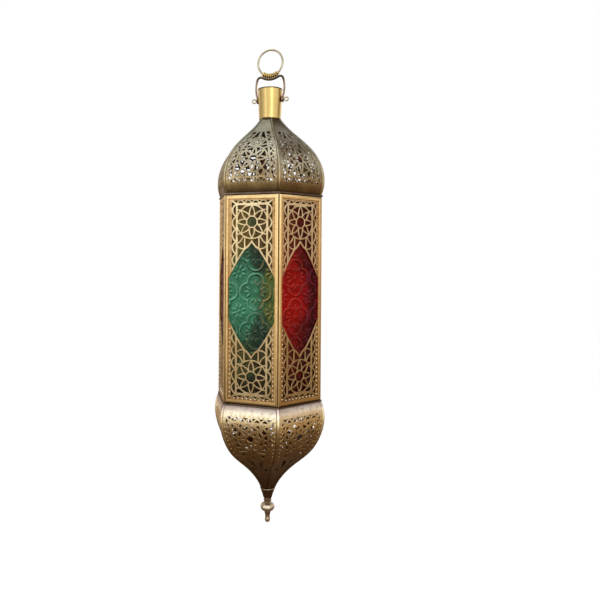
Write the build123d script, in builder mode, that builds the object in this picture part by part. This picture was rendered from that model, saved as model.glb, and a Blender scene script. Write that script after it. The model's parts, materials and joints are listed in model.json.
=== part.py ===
"""Hexagonal hanging lantern: pierced brass domes, framed glass panels and a hinged door."""

import os
from math import cos, pi, radians, sin, sqrt, tan

from build123d import *

# Lengths are in millimetres. +Z is up, -Y is the front panel and +Y is the door.
# The origin is the point that the lantern hangs from, inside the top of the ring.

# Hexagonal body
sides = 6
corner_radius = 55.0
body_height = 197.0
plate_thickness = 1.5
plate_lip = 0.4
plate_opening_radius = 40.0

# Framed panels
stile_width = 4.2
rail_width = 4.4
frame_depth = 2.6
frame_lip = 1.0
rebate = 1.5
corner_gap = 0.8
fret_thickness = 0.8
fret_clearance = 0.1
glass_thickness = 3.0
glass_side_clearance = 0.8
glass_end_clearance = 0.4

# Pierced pattern of a fret
fret_bar = 1.2
bar_spacing = 30.4
rosette_radius = 15.0
rosette_rise = 72.5
rosette_petals = 8
window_point_gap = 4.0
window_side_height = 45.0
window_margin = 0.3
chain_pitch = 11.6
chain_holes = 4
chain_hole_length = 8.6
chain_hole_width = 4.0
fan_height = 15.0

# Clips behind the glass
clip_width = 6.0
clip_spacing = 28.0
clip_sheet = 0.6
clip_foot = 2.0
clip_reach = 3.0

# Upper dome, with its widest radius at the ridges
upper_height = 77.5
upper_bulge_radius = 56.0
upper_inset = 2.1
upper_end_inset = 0.7
gore_run = 1.1
rib_width = 2.6
rib_gap = 0.2
rib_proud = 0.8
rib_depth = 1.4

# Lower dome, with its widest radius at the ridges
lower_height = 90.0
lower_bulge_radius = 57.6
lower_inset = 0.8
lower_end_radius = 6.8
cap_height = 10.0
cap_lip = 0.3
cap_end_radius = 4.0

# Finial
finial_neck_radius = 3.8
finial_neck_length = 5.5
bead_radius = 7.0
bead_height = 8.0
tip_radius = 2.4
tip_length = 11.5
stud_radius = 2.0
stud_length = 6.0
stud_fit = 0.05

# Neck
neck_top_radius = 12.2
neck_bottom_radius = 10.9
neck_wall = 0.9
neck_length = 28.5
neck_above_pivot = 10.5
collar_thickness = 1.2

# Handle
ring_inner_radius = 12.0
ring_wire = 2.0
wire_sides = 6
bail_wire = 2.2
bail_height = 20.6
saddle_half_angle = 31.0
shoulder_radius = 3.5
shoulder_turn = 103.0
eye_side_gap = 0.35
seat_gap = 0.1
lash_wire = 1.3
lash_gap = 0.1
lash_turns = 6
lash_sides = 5
lash_pitch = 2.9
pivot_wire_diameter = 1.4
pivot_fit = 0.08
pivot_loop_radius = 1.9
pivot_loop_gap = 0.3

# Door
door_gap = 0.4
knuckle_radius = 1.7
hinge_gap = 0.3
hinge_height = 18.0
hinge_rise = 62.0
hinge_pin_radius = 0.9
hinge_fit = 0.06
pin_head_radius = 1.5
pin_head_height = 0.8
leaf_width = 9.0
leaf_thickness = 0.8
knob_radius = 3.0
knob_stem_radius = 1.2
knob_stem_length = 2.4
knob_length = 4.0
knob_bevel = 1.2
stop_width = 10.0
stop_height = 2.6
stop_thickness = 0.8
stop_gap = 0.3

# Candle seat
bridge_width = 14.0
bridge_half_length = 43.5
bridge_thickness = 1.2
cup_bore_radius = 19.6
cup_wall = 0.8
cup_floor = 0.8
cup_depth = 15.0
rivet_radius = 1.6
rivet_fit = 0.05
rivet_head_radius = 3.0
rivet_head_height = 1.0

# One overrun serves every cut
overrun = 1.0

# Ridge profiles between the ends, as (share of the dome's height from the body, share of its widest radius)
upper_shares = ((0.2, 1), (0.42, 0.922), (0.63, 0.71), (0.83, 0.395))
lower_shares = ((0.16, 1), (0.36, 0.937), (0.55, 0.762), (0.72, 0.463), (0.87, 0.24))

# Rosette holes as shares of the rosette's radius: centre, petal tips and width, dart
centre_hole_share = 0.285
petal_shares = (0.37, 0.66, 0.12, 0.92)
dart_shares = (0.56, 0.93, 0.19)

# Gore piercings: rosette height and radius, then the leaf holes beside the ridges
upper_rosette_share = 0.4
upper_leaf_shares = (0.22, 0.62)
lower_rosette_share = 0.4
lower_leaf_shares = (0.22, 0.58)
gore_rosette_radius = 14.0
leaf_length = 9.0
leaf_foot = 4.5
gore_border = 7.0

# Panels by name, and their turn from the front
panel_turns = {
    "front": 0, "front_right": 60, "back_right": 120, "back": 180, "back_left": 240, "front_left": 300,
}
door_turn = panel_turns["back"]
hinge_angle = 60

# Heights from the hanging point down
half_side = 180 / sides
apothem = corner_radius * cos(radians(half_side))
side_length = 2 * corner_radius * sin(radians(half_side))
ring_radius = ring_inner_radius + ring_wire / 2
ring_z = -ring_inner_radius
lash_radius = ring_wire / 2 + lash_gap + lash_wire / 2
saddle_radius = ring_radius + lash_radius + lash_wire / 2 + seat_gap + bail_wire / 2
pivot_z = ring_z - saddle_radius - bail_height
neck_top_z = pivot_z + neck_above_pivot
neck_bottom_z = neck_top_z - neck_length
upper_top_z = neck_bottom_z - collar_thickness
upper_bottom_z = upper_top_z - upper_height
body_top_z = upper_bottom_z - plate_thickness
body_bottom_z = body_top_z - body_height
body_mid_z = (body_top_z + body_bottom_z) / 2
lower_top_z = body_bottom_z - plate_thickness
lower_bottom_z = lower_top_z - lower_height
cap_bottom_z = lower_bottom_z - cap_height

# Panel sizes
opening_width = side_length - 2 * stile_width
opening_height = body_height - 2 * rail_width
pocket_width = opening_width + 2 * rebate
pocket_height = opening_height + 2 * rebate
glass_depth = frame_lip + fret_thickness
glass_back = glass_depth + glass_thickness

front_face = Plane(origin=(0, -apothem, body_mid_z), x_dir=(1, 0, 0), z_dir=(0, -1, 0))


def save(piece, name):
    """Label a finished piece and write it to its own file."""
    piece.label = name
    export_step(piece, f"parts/{name}.step")


def save_turned(piece, name, turn):
    """Write a copy of a front piece, turned about the axis to its own side."""
    with BuildPart() as turned:
        add(piece, rotation=(0, 0, turn))
    save(turned.part, name)


def pierce_star(radius):
    """Cut a star at the current location of a sketch: a centre and its petals."""
    near, middle, half_width, far = (share * radius for share in petal_shares)
    RegularPolygon(centre_hole_share * radius, rosette_petals, mode=Mode.SUBTRACT)
    with PolarLocations(0, rosette_petals):
        Polygon((near, 0), (middle, half_width), (far, 0), (middle, -half_width),
                align=None, mode=Mode.SUBTRACT)


def pierce_darts(radius):
    """Cut the darts between the petals of a star."""
    dart_near, dart_far, dart_half = (share * radius for share in dart_shares)
    with PolarLocations(0, rosette_petals, start_angle=180 / rosette_petals):
        Polygon((dart_near, 0), (dart_far, dart_half), (dart_far, -dart_half),
                align=None, mode=Mode.SUBTRACT)


def framed_opening(height):
    """Build a panel frame of a given height: mitred at the corners, with a rebate at its back."""
    slope = tan(radians(half_side))
    face_half = side_length / 2 - corner_gap / 2 / cos(radians(half_side))
    back_half = face_half - frame_depth * slope
    with BuildPart() as frame:
        with BuildSketch(Plane.XY.offset(body_mid_z - height / 2)):
            Polygon((-face_half, -apothem), (face_half, -apothem),
                    (back_half, frame_depth - apothem), (-back_half, frame_depth - apothem), align=None)
        extrude(amount=height)
        with BuildSketch(front_face.offset(overrun)):
            Rectangle(opening_width, opening_height)
        extrude(amount=-(frame_depth + 2 * overrun), mode=Mode.SUBTRACT)
        with BuildSketch(front_face.offset(-frame_lip)):
            Rectangle(pocket_width, pocket_height)
        extrude(amount=-(frame_depth - frame_lip + overrun), mode=Mode.SUBTRACT)
    return frame.part


def ridge_points(height, start_radius, widest_radius, shares, end_radius):
    """Points of a dome's ridges as (height from the body, radius)."""
    middle = [(height_share * height, radius_share * widest_radius) for height_share, radius_share in shares]
    return [(0, start_radius), *middle, (height, end_radius)]


def ridge_radius(ridge, height):
    """Radius of a ridge at a height, on straight lines between its points."""
    for (low, low_radius), (high, high_radius) in zip(ridge, ridge[1:]):
        if low <= height <= high:
            return low_radius + (high_radius - low_radius) * (height - low) / (high - low)
    return ridge[-1][1]


def profile_strip(ridge, start_z, rise, scale, outer_shift, inner_shift, inner_line=Spline):
    """Fill the strip between a dome's curve and a line along it, set apart along the radius."""
    outer = [(scale * radius + outer_shift, start_z + rise * height) for height, radius in ridge]
    inner = [(scale * radius + inner_shift, start_z + rise * height) for height, radius in ridge]
    with BuildLine() as strip:
        Spline(*outer)
        Line(outer[-1], inner[-1])
        inner_line(*inner)
        Line(inner[0], outer[0])
    make_face(strip.edges())


def dome_gore(ridge, start_z, rise, rosette_share, leaf_shares):
    """Build the front gore of a dome: bent to the profile, cut to its wedge and pierced."""
    height = ridge[-1][0]
    reach = max(radius for _, radius in ridge)
    slope = tan(radians(half_side))
    wedge_tip = (rib_width / 2 + rib_gap) / sin(radians(half_side))
    wedge_half = (reach - wedge_tip) * slope
    with BuildPart() as gore:
        with BuildSketch(Plane.YZ):
            profile_strip(ridge, start_z, rise, -cos(radians(half_side)), 0, gore_run)
        extrude(amount=reach, both=True)
        with BuildSketch(Plane.XY.offset(start_z)):
            Polygon((0, -wedge_tip), (wedge_half, -reach), (-wedge_half, -reach), align=None)
        extrude(amount=rise * height, mode=Mode.INTERSECT)
        with BuildSketch(Plane(origin=(0, -reach, start_z), x_dir=(1, 0, 0), z_dir=(0, -1, 0))):
            Rectangle(2 * reach, 4 * height)
            with Locations((0, rise * height * rosette_share)):
                pierce_star(gore_rosette_radius)
            for share in leaf_shares:
                foot = height * share
                edge = ridge_radius(ridge, foot) * sin(radians(half_side)) - gore_border
                for side in (1, -1):
                    Polygon((side * edge, rise * foot), (side * (edge - leaf_foot), rise * foot),
                            (side * edge, rise * (foot + leaf_length)), align=None, mode=Mode.SUBTRACT)
        extrude(amount=-(reach - wedge_tip), mode=Mode.INTERSECT)
    return gore.part


def dome_ribs(ridge, start_z, rise):
    """Build the ridge ribs that cover the seams between the gores."""
    with BuildPart() as rib:
        with BuildSketch(Plane.XZ):
            profile_strip(ridge, start_z, rise, 1, rib_proud, -rib_depth, inner_line=Polyline)
        extrude(amount=rib_width / 2, both=True)
    with BuildPart() as ribs:
        with PolarLocations(0, sides):
            add(rib.part)
    return ribs.part


os.makedirs("parts", exist_ok=True)

# Hanging ring
with BuildPart() as hang_ring:
    with BuildSketch(Plane.XY.offset(ring_z)):
        with Locations((ring_radius, 0)):
            RegularPolygon(ring_wire / 2, wire_sides)
    revolve(axis=Axis((0, 0, ring_z), (0, 1, 0)))
save(hang_ring.part, "hang_ring")

# Bail: saddle under the ring, shoulders, bowed legs and an eye at each end
neck_slope = (neck_top_radius - neck_bottom_radius) / neck_length
neck_pivot_radius = neck_top_radius - neck_above_pivot * neck_slope
eye_x = neck_pivot_radius + eye_side_gap + bail_wire / 2
eye_radius = pivot_wire_diameter / 2 + pivot_fit + bail_wire / 2
with BuildPart() as bail:
    with BuildLine(Plane.XZ) as bail_path:
        saddle = CenterArc((0, ring_z), saddle_radius, -90 - saddle_half_angle, 2 * saddle_half_angle)
        shoulder = JernArc(saddle @ 1, saddle % 1, shoulder_radius, -shoulder_turn)
        leg = TangentArc(shoulder @ 1, (eye_x, pivot_z + eye_radius), tangent=shoulder % 1)
        mirror([shoulder, leg], about=Plane.YZ)
    bail_wire_path = bail_path.wires()[0]
    with BuildSketch(Plane(origin=bail_wire_path @ 0, z_dir=bail_wire_path % 0)):
        RegularPolygon(bail_wire / 2, wire_sides)
    sweep(path=bail_wire_path)
    with BuildSketch(Plane.XZ):
        with Locations((eye_x, pivot_z + eye_radius), (-eye_x, pivot_z + eye_radius)):
            RegularPolygon(bail_wire / 2, wire_sides)
    revolve(axis=Axis((0, 0, pivot_z), (1, 0, 0)))
save(bail.part, "bail")


def lash_point(turn):
    """Centre of the lashing wire after a number of turns, and its direction there."""
    along = (turn - lash_turns / 2) * lash_pitch / ring_radius
    swing = 2 * pi * turn
    out = Vector(sin(along), 0, -cos(along))
    forward = Vector(cos(along), 0, sin(along))
    across = Vector(0, 1, 0)
    reach = ring_radius + lash_radius * cos(swing)
    point = Vector(0, 0, ring_z) + out * reach + across * (lash_radius * sin(swing))
    heading = (across * cos(swing) - out * sin(swing)) * (2 * pi * lash_radius)
    heading += forward * (lash_pitch * reach / ring_radius)
    return point, heading.normalized()


def join_point(start, start_heading, end, end_heading):
    """Point where two arcs that leave and arrive in given directions meet."""
    chord = end - start
    total = start_heading + end_heading
    bend = 2 * (1 - start_heading.dot(end_heading))
    reach = (sqrt(chord.dot(total) ** 2 + bend * chord.dot(chord)) - chord.dot(total)) / bend
    return (start + end + (start_heading - end_heading) * reach) / 2


# Wire wrap: a lashing wound on the ring, which seats in the saddle of the bail
half_turns = 2 * lash_turns
with BuildPart() as wire_wrap:
    with BuildLine() as lash_path:
        for half in range(half_turns):
            start, start_heading = lash_point(half / 2)
            end, end_heading = lash_point((half + 1) / 2)
            join = join_point(start, start_heading, end, end_heading)
            first_arc = TangentArc(start, join, tangent=start_heading)
            TangentArc(join, end, tangent=first_arc % 1)
    lash_wire_path = lash_path.wires()[0]
    with BuildSketch(Plane(origin=lash_wire_path @ 0, z_dir=lash_wire_path % 0)):
        RegularPolygon(lash_wire / 2, lash_sides)
    sweep(path=lash_wire_path)
save(wire_wrap.part, "wire_wrap")

samples_per_turn = 24
lash_samples = [lash_point(i / samples_per_turn)[0] for i in range(samples_per_turn * lash_turns + 1)]
half_turn = samples_per_turn // 2
least_gap = min((b - a).length for i, a in enumerate(lash_samples) for b in lash_samples[i + half_turn:])
print(f"least gap between turns of the lashing: {least_gap - lash_wire:.2f} mm")

# Pivot wire: straight through the neck, with a curled loop at each end
loop_x = eye_x + bail_wire / 2 + pivot_loop_gap + pivot_loop_radius + pivot_wire_diameter / 2
with BuildPart() as pivot_wire:
    with Locations(Location((0, 0, pivot_z), (0, 90, 0))):
        Cylinder(pivot_wire_diameter / 2, 2 * (loop_x - pivot_loop_radius))
    for side in (1, -1):
        with BuildSketch(Plane.XY.offset(pivot_z)):
            with Locations((side * (loop_x + pivot_loop_radius), 0)):
                RegularPolygon(pivot_wire_diameter / 2, wire_sides)
        revolve(axis=Axis((side * loop_x, 0, pivot_z), (0, 1, 0)))
save(pivot_wire.part, "pivot_wire")

# Neck tube, open at the top, with a hole on each side for the pivot wire
with BuildPart() as neck_tube:
    with BuildSketch(Plane.XZ):
        Polygon((neck_bottom_radius, neck_bottom_z), (neck_top_radius, neck_top_z),
                (neck_top_radius - neck_wall, neck_top_z), (neck_bottom_radius - neck_wall, neck_bottom_z),
                align=None)
    revolve(axis=Axis.Z)
    with Locations(Location((0, 0, pivot_z), (0, 90, 0))):
        Cylinder(pivot_wire_diameter / 2 + pivot_fit, 3 * neck_top_radius, mode=Mode.SUBTRACT)
save(neck_tube.part, "neck_tube")

# Collar between the neck and the gores
with BuildPart() as neck_collar:
    with BuildSketch(Plane.XY.offset(upper_top_z)):
        Circle(neck_bottom_radius)
        Circle(neck_bottom_radius - neck_wall, mode=Mode.SUBTRACT)
    extrude(amount=collar_thickness)
save(neck_collar.part, "neck_collar")

# Domes: six gores and six ribs each, from the body outward
upper_ridge = ridge_points(upper_height, corner_radius - upper_inset, upper_bulge_radius, upper_shares,
                           neck_bottom_radius - upper_end_inset)
lower_ridge = ridge_points(lower_height, corner_radius - lower_inset, lower_bulge_radius, lower_shares,
                           lower_end_radius)
upper_gore = dome_gore(upper_ridge, upper_bottom_z, 1, upper_rosette_share, upper_leaf_shares)
lower_gore = dome_gore(lower_ridge, lower_top_z, -1, lower_rosette_share, lower_leaf_shares)
for position, turn in panel_turns.items():
    save_turned(upper_gore, f"upper_gore_{position}", turn)
    save_turned(lower_gore, f"lower_gore_{position}", turn)
save(dome_ribs(upper_ridge, upper_bottom_z, 1), "upper_dome_ribs")
save(dome_ribs(lower_ridge, lower_top_z, -1), "lower_dome_ribs")

# Hexagonal plates above and below the panels
for name, plate_z in (("body_top_plate", body_top_z), ("body_bottom_plate", lower_top_z)):
    with BuildPart() as plate:
        with BuildSketch(Plane.XY.offset(plate_z)):
            RegularPolygon(corner_radius + plate_lip, sides)
            RegularPolygon(plate_opening_radius, sides, mode=Mode.SUBTRACT)
        extrude(amount=plate_thickness)
    save(plate.part, name)

# Panel frames: five fixed, and a shorter one for the door
fixed_frame = framed_opening(body_height)
door_frame = framed_opening(body_height - 2 * door_gap)

# Fret sheet: window, two rosettes, side chains and fans beside the window's points
fret_width = pocket_width - 2 * fret_clearance
fret_height = pocket_height - 2 * fret_clearance
window_half_width = opening_width / 2 - window_margin
window_height = 2 * (rosette_rise - rosette_radius - window_point_gap)
chain_edge = bar_spacing / 2 + fret_bar
chain_top = rosette_rise + rosette_radius
fan_base = bar_spacing / 2 - fret_bar
window_slope = (window_height - window_side_height) / 2 / window_half_width
fan_low = window_height / 2 - window_slope * fan_base + 3 * fret_bar
fan_tip = fan_base - fan_height / window_slope
with BuildPart() as fret:
    with BuildSketch(front_face.offset(-frame_lip)):
        Rectangle(fret_width, fret_height)
        Polygon((0, window_height / 2), (window_half_width, window_side_height / 2),
                (window_half_width, -window_side_height / 2), (0, -window_height / 2),
                (-window_half_width, -window_side_height / 2), (-window_half_width, window_side_height / 2),
                align=None, mode=Mode.SUBTRACT)
        with Locations((0, rosette_rise), (0, -rosette_rise)):
            pierce_star(rosette_radius)
            pierce_darts(rosette_radius)
        for up in (1, -1):
            for side in (1, -1):
                for hole in range(chain_holes):
                    middle = up * (chain_top - (hole + 0.5) * chain_pitch)
                    Polygon((side * chain_edge, middle + chain_hole_length / 2),
                            (side * (chain_edge + chain_hole_width), middle),
                            (side * chain_edge, middle - chain_hole_length / 2),
                            align=None, mode=Mode.SUBTRACT)
                Polygon((side * fan_base, up * fan_low), (side * fan_base, up * (fan_low + fan_height)),
                        (side * fan_tip, up * (fan_low + fan_height)), align=None, mode=Mode.SUBTRACT)
    extrude(amount=-fret_thickness)

# Glass pane behind the fret
with BuildPart() as glass:
    with BuildSketch(front_face.offset(-glass_depth)):
        Rectangle(pocket_width - 2 * glass_side_clearance, pocket_height - 2 * glass_end_clearance)
    extrude(amount=-glass_thickness)

# Bent clips on the rails, reaching over the back of the pane
clip_foot_z = pocket_height / 2 + clip_sheet
clip_outline = [
    (frame_depth, clip_foot_z), (frame_depth, clip_foot_z + clip_foot),
    (glass_back + clip_sheet, clip_foot_z + clip_foot),
    (glass_back + clip_sheet, pocket_height / 2 - clip_reach),
    (glass_back, pocket_height / 2 - clip_reach), (glass_back, clip_foot_z),
]
with BuildPart() as glass_clips:
    for x in (-clip_spacing / 2, clip_spacing / 2):
        for up in (1, -1):
            with BuildSketch(Plane.YZ.offset(x)):
                Polygon(*[(depth - apothem, body_mid_z + up * z) for depth, z in clip_outline], align=None)
            extrude(amount=clip_width / 2, both=True)

for position, turn in panel_turns.items():
    panel = "door" if turn == door_turn else position
    save_turned(door_frame if turn == door_turn else fixed_frame, f"{panel}_frame", turn)
    save_turned(fret.part, f"{panel}_fret", turn)
    save_turned(glass.part, f"{panel}_glass", turn)
    save_turned(glass_clips.part, f"{panel}_glass_clips", turn)

# Door hinges at one back corner: leaves on both faces, knuckles and pins on one axis
hinge_radius = corner_radius + knuckle_radius + hinge_gap
hinge_x = hinge_radius * cos(radians(hinge_angle))
hinge_y = hinge_radius * sin(radians(hinge_angle))
knuckle_clear = knuckle_radius + hinge_gap
hinge_floors = (body_mid_z - hinge_rise - hinge_height / 2, body_mid_z + hinge_rise - hinge_height / 2)


def hinge_leaf(knuckle_start, knuckle_end):
    """Build one side of both hinges on the door's face, with its knuckle over part of the height."""
    with BuildPart() as leaf:
        for floor in hinge_floors:
            with BuildSketch(Plane.XY.offset(floor)):
                Polygon((hinge_x - leaf_width, apothem), (hinge_x - knuckle_clear, apothem),
                        (hinge_x - knuckle_clear, apothem + leaf_thickness),
                        (hinge_x - leaf_width, apothem + leaf_thickness), align=None)
            extrude(amount=hinge_height)
            with BuildSketch(Plane.XY.offset(floor + knuckle_start)):
                with Locations((hinge_x, hinge_y)):
                    Circle(knuckle_radius)
                Polygon((hinge_x - knuckle_clear, apothem), (hinge_x, apothem + hinge_gap),
                        (hinge_x, apothem + leaf_thickness),
                        (hinge_x - knuckle_clear, apothem + leaf_thickness), align=None)
                with Locations((hinge_x, hinge_y)):
                    Circle(hinge_pin_radius + hinge_fit, mode=Mode.SUBTRACT)
            extrude(amount=knuckle_end - knuckle_start)
    return leaf.part


door_leaf = hinge_leaf(hinge_height / 2 + hinge_gap / 2, hinge_height)
save(door_leaf, "hinge_leaves_door")
body_leaf = hinge_leaf(0, hinge_height / 2 - hinge_gap / 2)
corner_plane = Plane(origin=(0, 0, 0), z_dir=(-sin(radians(hinge_angle)), cos(radians(hinge_angle)), 0))
with BuildPart() as hinge_leaves_fixed:
    mirror(body_leaf, about=corner_plane)
save(hinge_leaves_fixed.part, "hinge_leaves_fixed")

with BuildPart() as hinge_pins:
    for floor in hinge_floors:
        with BuildSketch(Plane.XY.offset(floor)):
            with Locations((hinge_x, hinge_y)):
                Circle(hinge_pin_radius)
        extrude(amount=hinge_height)
        with BuildSketch(Plane.XY.offset(floor + hinge_height)):
            with Locations((hinge_x, hinge_y)):
                Circle(pin_head_radius)
        extrude(amount=pin_head_height)
save(hinge_pins.part, "hinge_pins")

# Door knob on the free stile, turned about the outward direction
knob_x = -(side_length - stile_width) / 2
knob_face = Plane(origin=(knob_x, apothem, body_mid_z), x_dir=(1, 0, 0), z_dir=(0, 1, 0))
with BuildPart() as door_knob:
    with BuildSketch(knob_face):
        Circle(knob_stem_radius)
    extrude(amount=knob_stem_length)
    with BuildSketch(knob_face.offset(knob_stem_length)):
        Circle(knob_radius)
    extrude(amount=knob_length)
    chamfer(door_knob.edges().filter_by(GeomType.CIRCLE).sort_by(Axis.Y)[-1], knob_bevel)
save(door_knob.part, "door_knob")

# Stop on the bottom plate that the door closes against
with BuildPart() as door_stop:
    with BuildSketch(Plane.XY.offset(body_bottom_z)):
        with Locations((0, apothem - frame_depth - stop_gap - stop_thickness / 2)):
            Rectangle(stop_width, stop_thickness)
    extrude(amount=stop_height)
save(door_stop.part, "door_stop")

# Candle seat: bridge across the bottom plate, cup and rivet
with BuildPart() as candle_bridge:
    with BuildSketch(Plane.XY.offset(body_bottom_z)):
        Rectangle(2 * bridge_half_length, bridge_width)
        Circle(rivet_radius + rivet_fit, mode=Mode.SUBTRACT)
    extrude(amount=bridge_thickness)
save(candle_bridge.part, "candle_bridge")

cup_z = body_bottom_z + bridge_thickness
with BuildPart() as candle_cup:
    with BuildSketch(Plane.XY.offset(cup_z)):
        Circle(cup_bore_radius + cup_wall)
    extrude(amount=cup_floor + cup_depth)
    with BuildSketch(Plane.XY.offset(cup_z + cup_floor)):
        Circle(cup_bore_radius)
    extrude(amount=cup_depth, mode=Mode.SUBTRACT)
    with Locations((0, 0, cup_z)):
        Cylinder(rivet_radius + rivet_fit, 2 * (cup_floor + overrun), mode=Mode.SUBTRACT)
save(candle_cup.part, "candle_cup")

with BuildPart() as cup_rivet:
    with BuildSketch(Plane.XY.offset(body_bottom_z - rivet_head_height)):
        Circle(rivet_head_radius)
    extrude(amount=rivet_head_height)
    with BuildSketch(Plane.XY.offset(body_bottom_z)):
        Circle(rivet_radius)
    extrude(amount=bridge_thickness + cup_floor)
save(cup_rivet.part, "cup_rivet")

# Cone that gathers the lower gores, and the finial in it
cap_top_radius = lower_end_radius + rib_proud + cap_lip
stud_hole_radius = stud_radius + stud_fit
with BuildPart() as lower_cap:
    with BuildSketch(Plane.XZ):
        Polygon((stud_hole_radius, lower_bottom_z), (cap_top_radius, lower_bottom_z),
                (cap_end_radius, cap_bottom_z), (stud_hole_radius, cap_bottom_z), align=None)
    revolve(axis=Axis.Z)
save(lower_cap.part, "lower_cap")

bead_top_z = cap_bottom_z - finial_neck_length
bead_mid_z = bead_top_z - bead_height / 2
tip_top_z = bead_top_z - bead_height
tip_end_z = tip_top_z - tip_length
with BuildPart() as finial:
    with BuildSketch(Plane.XZ):
        with BuildLine():
            Polyline((0, cap_bottom_z + stud_length), (stud_radius, cap_bottom_z + stud_length),
                     (stud_radius, cap_bottom_z), (finial_neck_radius, cap_bottom_z),
                     (finial_neck_radius, bead_top_z))
            ThreePointArc((finial_neck_radius, bead_top_z), (bead_radius, bead_mid_z),
                          (tip_radius, tip_top_z))
            Line((tip_radius, tip_top_z), (tip_radius, tip_end_z + tip_radius))
            RadiusArc((tip_radius, tip_end_z + tip_radius), (0, tip_end_z), tip_radius)
            Line((0, tip_end_z), (0, cap_bottom_z + stud_length))
        make_face()
    revolve(axis=Axis.Z)
save(finial.part, "finial")
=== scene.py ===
"""Looks of the hexagonal hanging lantern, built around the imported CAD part."""
import json
import math

import bmesh
import bpy
import numpy as np
from mathutils import Euler, Matrix, Vector, geometry


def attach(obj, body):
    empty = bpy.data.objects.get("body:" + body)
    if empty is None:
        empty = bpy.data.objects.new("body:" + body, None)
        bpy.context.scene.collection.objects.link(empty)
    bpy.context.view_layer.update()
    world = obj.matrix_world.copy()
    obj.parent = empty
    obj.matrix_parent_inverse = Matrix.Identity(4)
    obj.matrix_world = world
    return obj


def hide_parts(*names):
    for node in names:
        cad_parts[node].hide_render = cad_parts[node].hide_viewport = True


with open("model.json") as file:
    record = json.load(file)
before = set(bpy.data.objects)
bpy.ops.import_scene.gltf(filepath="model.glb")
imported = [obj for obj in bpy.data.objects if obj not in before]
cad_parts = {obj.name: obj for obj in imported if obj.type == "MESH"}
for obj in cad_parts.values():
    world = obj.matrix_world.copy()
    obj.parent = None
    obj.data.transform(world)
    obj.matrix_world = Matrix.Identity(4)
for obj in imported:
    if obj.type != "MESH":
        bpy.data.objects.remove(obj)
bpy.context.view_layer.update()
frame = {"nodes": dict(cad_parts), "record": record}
nodes = frame["nodes"]

# Lengths in this script are millimetres until a mesh is made; the scene is in metres.
MM = 0.001
TAU = 2 * math.pi
COS_30 = math.cos(math.pi / 6)

# Sizes of the CAD part that the new pieces have to meet: u is across a panel, v up from its middle
CORNER_RADIUS = 55.0
APOTHEM = CORNER_RADIUS * COS_30
BODY_MID, BODY_HALF = -245.9, 98.5
OPENING_U, OPENING_V = 23.3, 94.1
FRET_U, FRET_V = 24.7, 95.5
FRET_DEPTH, SHEET_THICK = 1.0, 0.8
GLASS_U, GLASS_V = 24.0, 95.2
GLASS_FRONT, GLASS_BACK = 1.85, 4.8
UPPER_START, UPPER_END = -145.9, -68.4
LOWER_START, LOWER_END = -345.9, -435.9
CAP_HEIGHT = 10.0
LIP_TOP = -38.45
RIB_PROUD = 0.8
RING_Z, RING_RADIUS, RING_WIRE = -12.0, 13.0, 1.0
PIVOT_Z, PIVOT_WIRE = -49.2, 0.7
BAIL_WIRE, LEG_WIRE = 1.1, 0.95
EYE_X, EYE_RADIUS = 13.17, 1.88

# Places on the fret that the finishes and the glass follow too
ROSETTE_V, ROSETTE_HOLE = 72.5, 5.2
BORDER_U, BORDER_V, BORDER_FADE = 20.1, 92.2, 0.5

TURNS = {"front": 0, "front_right": 60, "back_right": 120, "back": 180, "back_left": 240, "front_left": 300}
PANELS = {("door" if name == "back" else name): turn for name, turn in TURNS.items()}
FIXED_PANELS = {panel: turn for panel, turn in PANELS.items() if panel != "door"}
CORNERS = np.array([(-1, -1), (1, -1), (1, 1), (-1, 1)])

# Glass of each panel, and how far its pressed pattern is shifted by the place it was cut from
PANES = {
    "front": ("glass_green", (3.8, 6.8)), "front_right": ("glass_red", (-4.8, -16.6)),
    "back_right": ("glass_blue", (8.0, -4.0)), "door": ("glass_amber", (0.0, 0.0)),
    "back_left": ("glass_green", (-7.0, 11.0)), "front_left": ("glass_red", (5.0, -10.0)),
}


# Meshes
def linked(name, data):
    """New object in the scene."""
    obj = bpy.data.objects.new(name, data)
    bpy.context.scene.collection.objects.link(obj)
    return obj


def new_object(name, skin, finish, smooth_angle=35.0):
    """Object from points and faces, smooth except over edges sharper than an angle in degrees."""
    points, faces = skin
    mesh = bpy.data.meshes.new(name)
    mesh.from_pydata([tuple(p) for p in np.asarray(points, float) * MM], [], [tuple(f) for f in faces])
    mesh.validate()
    mesh.shade_smooth()
    mesh.set_sharp_from_angle(angle=math.radians(smooth_angle))
    mesh.materials.append(MATERIALS[finish])
    return linked(name, mesh)


def place(obj, body, slot, *replaced, turn=0.0):
    """Turn a piece about the lantern's axis, then tie it to its body and hide the CAD nodes it replaces.
    The slot is not used.
    """
    obj.matrix_world = Matrix.Rotation(math.radians(turn), 4, "Z")
    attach(obj, body)
    if replaced:
        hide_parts(*replaced)


def body_of(panel):
    """Body that a panel's pieces ride on."""
    return "door" if panel == "door" else "lantern"


def place_round(first, turns, slot, *replaced):
    """Place a piece of the front, and on the other sides pieces that share its mesh."""
    for side, turn in turns.items():
        piece = first if side == "front" else linked(first.name.replace("front", side), first.data)
        place(piece, body_of(side), slot, *[node.replace("front", side) for node in replaced], turn=turn)


def arc(centre, radius, start, end, count, rise=None):
    """Points on an arc, or on an ellipse where it has a rise of its own; angles in degrees."""
    return [(centre[0] + radius * math.cos(a), centre[1] + (rise or radius) * math.sin(a))
            for a in np.radians(np.linspace(start, end, count + 1))]


def turned(points, degrees):
    """Points turned about the lantern's axis."""
    c, s = math.cos(math.radians(degrees)), math.sin(math.radians(degrees))
    return [(x * c - y * s, x * s + y * c, z) for x, y, z in points]


def joined(*parts):
    """One set of points and faces from several."""
    verts, faces = [], []
    for points, more in parts:
        faces += [tuple(i + len(verts) for i in face) for face in more]
        verts += list(points)
    return verts, faces


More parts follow.
